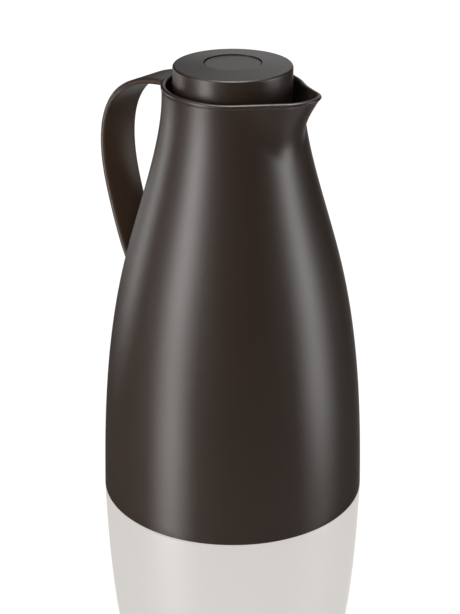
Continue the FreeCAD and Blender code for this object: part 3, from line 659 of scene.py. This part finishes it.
class CARAFE_OT_dress_stopper(bpy.types.Operator):
    """Make the threads, and finish the throat collar, the plug and the valve"""

    bl_idname = "carafe.dress_stopper"
    bl_label = "Dress stopper"

    def execute(self, context):
        finishes = context.scene.carafe_finishes
        forms = context.scene.carafe_forms
        plastic = moulded_polypropylene(
            "smooth_moulded_polypropylene", finishes.inner_dark, finishes.inner_light, INNER_ROUGHNESS)
        dress(plastic, "throat_collar", "stopper_plug", "valve_stem", "valve_plate")
        # The throat's ridges lie half way between the plug's.
        between = forms.thread_lead / THREAD_STARTS / 2
        low = forms.thread_start
        plug = (forms.plug_core, forms.plug_crest, low, forms.plug_thread_end, 0.0)
        throat = (forms.throat_bore, forms.throat_crest, low, forms.throat_thread_end, between)
        for name, body, sizes in (("plug_thread", "stopper", plug), ("throat_thread", "carafe", throat)):
            grids = [thread_grid(forms, start, *sizes) for start in range(THREAD_STARTS)]
            thread = new_object(face_outward(joined_tubes(name, grids)))
            thread.data.materials.append(plastic)
            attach(thread, body)
        return {"FINISHED"}


class CARAFE_OT_dress_liner(bpy.types.Operator):
    """Finish the glass liner and what holds it"""

    bl_idname = "carafe.dress_liner"
    bl_label = "Dress liner"

    def execute(self, context):
        finishes = context.scene.carafe_finishes
        fibre = porous_pad("pressed_mineral_fibre", finishes.fibre, finishes.fibre_pore, FIBRE_ROUGHNESS)
        foam = porous_pad("foamed_rubber", finishes.foam, finishes.foam_pore, FOAM_ROUGHNESS)
        dress(silvered_glass(), "liner_inner_flask", "liner_outer_flask")
        dress(fibre, "vacuum_spacers")
        dress(foam, "liner_buffer")
        return {"FINISHED"}


class CARAFE_OT_dress_seals(bpy.types.Operator):
    """Make the spring, and finish the seals and the clip"""

    bl_idname = "carafe.dress_seals"
    bl_label = "Dress seals and spring"

    def execute(self, context):
        forms = context.scene.carafe_forms
        dress(
            moulded_silicone(),
            "neck_seal", "base_seal", "collar_seal", "plug_seal", "stem_seal", "valve_seal")
        steel = drawn_steel()
        dress(steel, "stem_clip")
        (_, _, low), (_, _, high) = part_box("button_spring")
        coil = new_object(face_outward(joined_tubes("coil", [coil_grid(forms, low, high)])))
        coil.data.materials.append(steel)
        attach(coil, "stopper")
        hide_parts("button_spring")
        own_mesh(coil)
        return {"FINISHED"}


# Stage

# Softboxes: turn about the carafe in degrees, then distance, middle height, width and height in
# metres, and power in watts.
SOFTBOXES = {
    "left_softbox": (-14.0, 1.3, 0.38, 0.45, 0.75, 14.0),
    "left_high": (-14.0, 1.3, 1.1, 0.45, 0.7, 2.5),
    "right_softbox": (119.0, 1.3, 0.25, 0.45, 0.49, 7.0),
    "right_high": (119.0, 1.3, 1.15, 0.45, 0.6, 1.5),
    "top_softbox": (40.0, 0.1, 1.4, 0.6, 0.6, 24.0),
    "left_rim": (-78.0, 1.3, 0.11, 0.25, 0.21, 1.35),
    "back_rim": (-106.0, 1.3, 0.11, 0.25, 0.21, 0.35),
    "front_fill": (45.0, 1.4, 0.7, 0.6, 0.6, 5.0),
    "strap_fill": (40.0, 1.3, 0.6, 0.3, 0.3, 26.0),
}
MATT_ONLY = {"front_fill", "strap_fill"}
MIRROR_ONLY = {"top_softbox"}
# Height on the axis that the softboxes face, in metres.
AIM_HEIGHT = 0.12
# White sweep round the set, open behind the carafe: first and last turn in degrees, then distance,
# bottom and top in metres.
BACKDROP = (225.0, 552.0, 1.9, 0.005, 2.6)
BACKDROP_STEPS = 65
# The floor's half side in metres.
FLOOR_REACH = 6.0
LIT_FLOOR_DROP = 0.2 * MM
FLOOR_GLOW = 1.5
FLOOR_ROUGHNESS = 0.03
WORLD_DIFFUSE = 0.3
WORLD_MIRROR = 0.75
WHITE = (1, 1, 1, 1)
# Long side of the camera's sensor in millimetres, as Blender takes it.
SENSOR_SIZE = 36.0


def white_sweep():
    """White sweep: lights the floor that the camera sees, so that the floor's mirror image is white."""
    material, tree = new_material("white_sweep")
    glow = add_node(tree, "ShaderNodeEmission", values={"Strength": WORLD_MIRROR})
    add_node(tree, "ShaderNodeOutputMaterial", links={"Surface": glow.outputs["Emission"]})
    return material


def lacquered_board(studio):
    """Lacquered board lit from under: a matt ground that keeps the shadow, and a mirror image over it.

    The light from under it shows to the camera alone.
    """
    material, tree = new_material("white_lacquered_board")
    path = add_node(tree, "ShaderNodeLightPath")
    lift = add_node(tree, "ShaderNodeMapRange", values={
        "To Max": FLOOR_GLOW}, links={"Value": path.outputs["Is Camera Ray"]})
    matt = add_node(tree, "ShaderNodeBsdfDiffuse", values={"Color": studio.floor_white})
    glow = add_node(tree, "ShaderNodeEmission", values={
        "Color": studio.floor_light}, links={"Strength": lift.outputs["Result"]})
    ground = add_node(tree, "ShaderNodeAddShader", links={
        0: matt.outputs["BSDF"], 1: glow.outputs["Emission"]})
    mirror = add_node(tree, "ShaderNodeBsdfAnisotropic", values={
        "Color": WHITE, "Roughness": FLOOR_ROUGHNESS})
    both = add_node(tree, "ShaderNodeMixShader", values={"Fac": studio.floor_mirror}, links={
        1: ground.outputs["Shader"], 2: mirror.outputs["BSDF"]})
    add_node(tree, "ShaderNodeOutputMaterial", links={"Surface": both.outputs["Shader"]})
    return material


def studio_world():
    """White to the camera, a little dimmer in mirrors, and dimmer still as light."""
    world = bpy.data.worlds.new("studio")
    world.use_nodes = True
    tree = world.node_tree
    tree.nodes.clear()
    path = add_node(tree, "ShaderNodeLightPath")
    mirrored = add_node(tree, "ShaderNodeMapRange", values={
        "To Min": WORLD_DIFFUSE, "To Max": WORLD_MIRROR}, links={"Value": path.outputs["Is Glossy Ray"]})
    level = add_node(tree, "ShaderNodeMapRange", links={
        "Value": path.outputs["Is Camera Ray"], "To Min": mirrored.outputs["Result"]})
    sky = add_node(tree, "ShaderNodeBackground", values={
        "Color": WHITE}, links={"Strength": level.outputs["Result"]})
    add_node(tree, "ShaderNodeOutputWorld", links={"Surface": sky.outputs["Background"]})
    return world


def around(azimuth, distance, height):
    """Point at a turn in degrees about the carafe's axis, measured like the camera's."""
    turn = np.radians(azimuth)
    return np.stack([np.sin(turn) * distance, -np.cos(turn) * distance, height], axis=-1)


def new_receivers(name, pieces):
    """Collection of the pieces that a lamp lights."""
    made = bpy.data.collections.new(name)
    for piece in pieces:
        made.objects.link(piece)
    return made


def set_floors(studio):
    """Two floors: the camera sees one, and light meets the other, just under it.

    Only the lower one mirrors the softboxes.
    """
    reach = np.array([-FLOOR_REACH, 0.0, FLOOR_REACH])
    across, along = np.meshgrid(reach, reach)
    board = lacquered_board(studio)
    floors = []
    for name, level in (("floor", 0.0), ("lit_floor", -LIT_FLOOR_DROP)):
        spread = np.stack([across, along, np.full_like(across, level)], axis=-1)
        floors.append(new_object(surface_mesh(name, spread)))
        floors[-1].data.materials.append(board)
    floor, lit_floor = floors
    lit_floor.visible_camera = False
    for ray in ("diffuse", "glossy", "transmission", "shadow"):
        setattr(floor, f"visible_{ray}", False)
    return floor, lit_floor


def set_backdrop(floor):
    """White sweep round the set that lights one floor alone, so that the plastic doesn't mirror it."""
    first, last, distance, low, high = BACKDROP
    turns = np.linspace(first, last, BACKDROP_STEPS)
    arcs = [around(turns, distance, np.full(len(turns), level)) for level in (low, high)]
    backdrop = new_object(surface_mesh("backdrop", np.stack(arcs)))
    backdrop.data.materials.append(white_sweep())
    backdrop.visible_camera = False
    backdrop.light_linking.receiver_collection = new_receivers("lit_by_backdrop", [floor])
    return backdrop


def set_softboxes(scene, floor, backdrop):
    """Softboxes, which the floor that the camera sees doesn't mirror, and fills.

    One fill lights everything, and one the strap alone.
    """
    lit = new_receivers("lit_by_softboxes", [p for p in scene.objects if p not in (floor, backdrop)])
    strap = new_receivers("lit_by_strap_fill", [scene.objects["strap"]])
    receivers = {"front_fill": None, "strap_fill": strap}
    for name, (azimuth, distance, height, width, tall, power) in SOFTBOXES.items():
        light = bpy.data.lights.new(name, "AREA")
        light.shape = "RECTANGLE"
        light.size = width
        light.size_y = tall
        light.energy = power
        lamp = bpy.data.objects.new(name, light)
        lamp.location = around(azimuth, distance, height)
        tilt = math.atan2(height - AIM_HEIGHT, distance)
        lamp.rotation_euler = (math.pi / 2 - tilt, 0, math.radians(azimuth))
        lamp.visible_camera = False
        lamp.visible_glossy = name not in MATT_ONLY
        lamp.visible_diffuse = name not in MIRROR_ONLY
        lamp.light_linking.receiver_collection = receivers.get(name, lit)
        scene.collection.objects.link(lamp)


def set_camera(scene, studio):
    """Camera at the photograph's place."""
    lens = bpy.data.cameras.new("camera")
    lens.sensor_width = SENSOR_SIZE
    lens.lens = studio.lens
    camera = bpy.data.objects.new("camera", lens)
    turn = studio.azimuth
    place = around(math.degrees(turn), studio.distance, studio.height)
    camera.location = place - studio.aside * np.array([math.cos(turn), math.sin(turn), 0.0])
    camera.rotation_euler = (math.pi / 2 - studio.pitch, 0, turn)
    scene.collection.objects.link(camera)
    scene.camera = camera


class CARAFE_OT_set_stage(bpy.types.Operator):
    """Set up the floor, the light and the camera"""

    bl_idname = "carafe.set_stage"
    bl_label = "Set stage"

    def execute(self, context):
        scene = context.scene
        studio = scene.carafe_studio
        scene.view_settings.view_transform = "Standard"
        scene.world = studio_world()
        floor, lit_floor = set_floors(studio)
        backdrop = set_backdrop(floor)
        set_softboxes(scene, floor, backdrop)
        set_camera(scene, studio)
        return {"FINISHED"}


# Add-on


class CARAFE_PT_panel(bpy.types.Panel):
    """Carafe's pieces and studio in the sidebar"""

    bl_label = "Carafe"
    bl_idname = "CARAFE_PT_panel"
    bl_space_type = "VIEW_3D"
    bl_region_type = "UI"
    bl_category = "Carafe"

    def draw(self, context):
        scene = context.scene
        for operator in OPERATORS:
            self.layout.operator(operator.bl_idname)
        for group in (scene.carafe_finishes, scene.carafe_forms, scene.carafe_studio):
            box = self.layout.box()
            for name in group.__annotations__:
                box.prop(group, name)


OPERATORS = (
    CARAFE_OT_dress_jacket,
    CARAFE_OT_dress_stopper,
    CARAFE_OT_dress_liner,
    CARAFE_OT_dress_seals,
    CARAFE_OT_set_stage,
)
CLASSES = (CarafeFinishes, CarafeForms, CarafeStudio, *OPERATORS, CARAFE_PT_panel)


def register():
    for cls in CLASSES:
        bpy.utils.register_class(cls)
    bpy.types.Scene.carafe_finishes = bpy.props.PointerProperty(type=CarafeFinishes)
    bpy.types.Scene.carafe_forms = bpy.props.PointerProperty(type=CarafeForms)
    bpy.types.Scene.carafe_studio = bpy.props.PointerProperty(type=CarafeStudio)


def unregister():
    del bpy.types.Scene.carafe_studio
    del bpy.types.Scene.carafe_forms
    del bpy.types.Scene.carafe_finishes
    for cls in reversed(CLASSES):
        bpy.utils.unregister_class(cls)


def main():
    register()
    bpy.ops.carafe.dress_jacket()
    bpy.ops.carafe.dress_stopper()
    bpy.ops.carafe.dress_liner()
    bpy.ops.carafe.dress_seals()
    bpy.ops.carafe.set_stage()


if __name__ == "__main__":
    main()
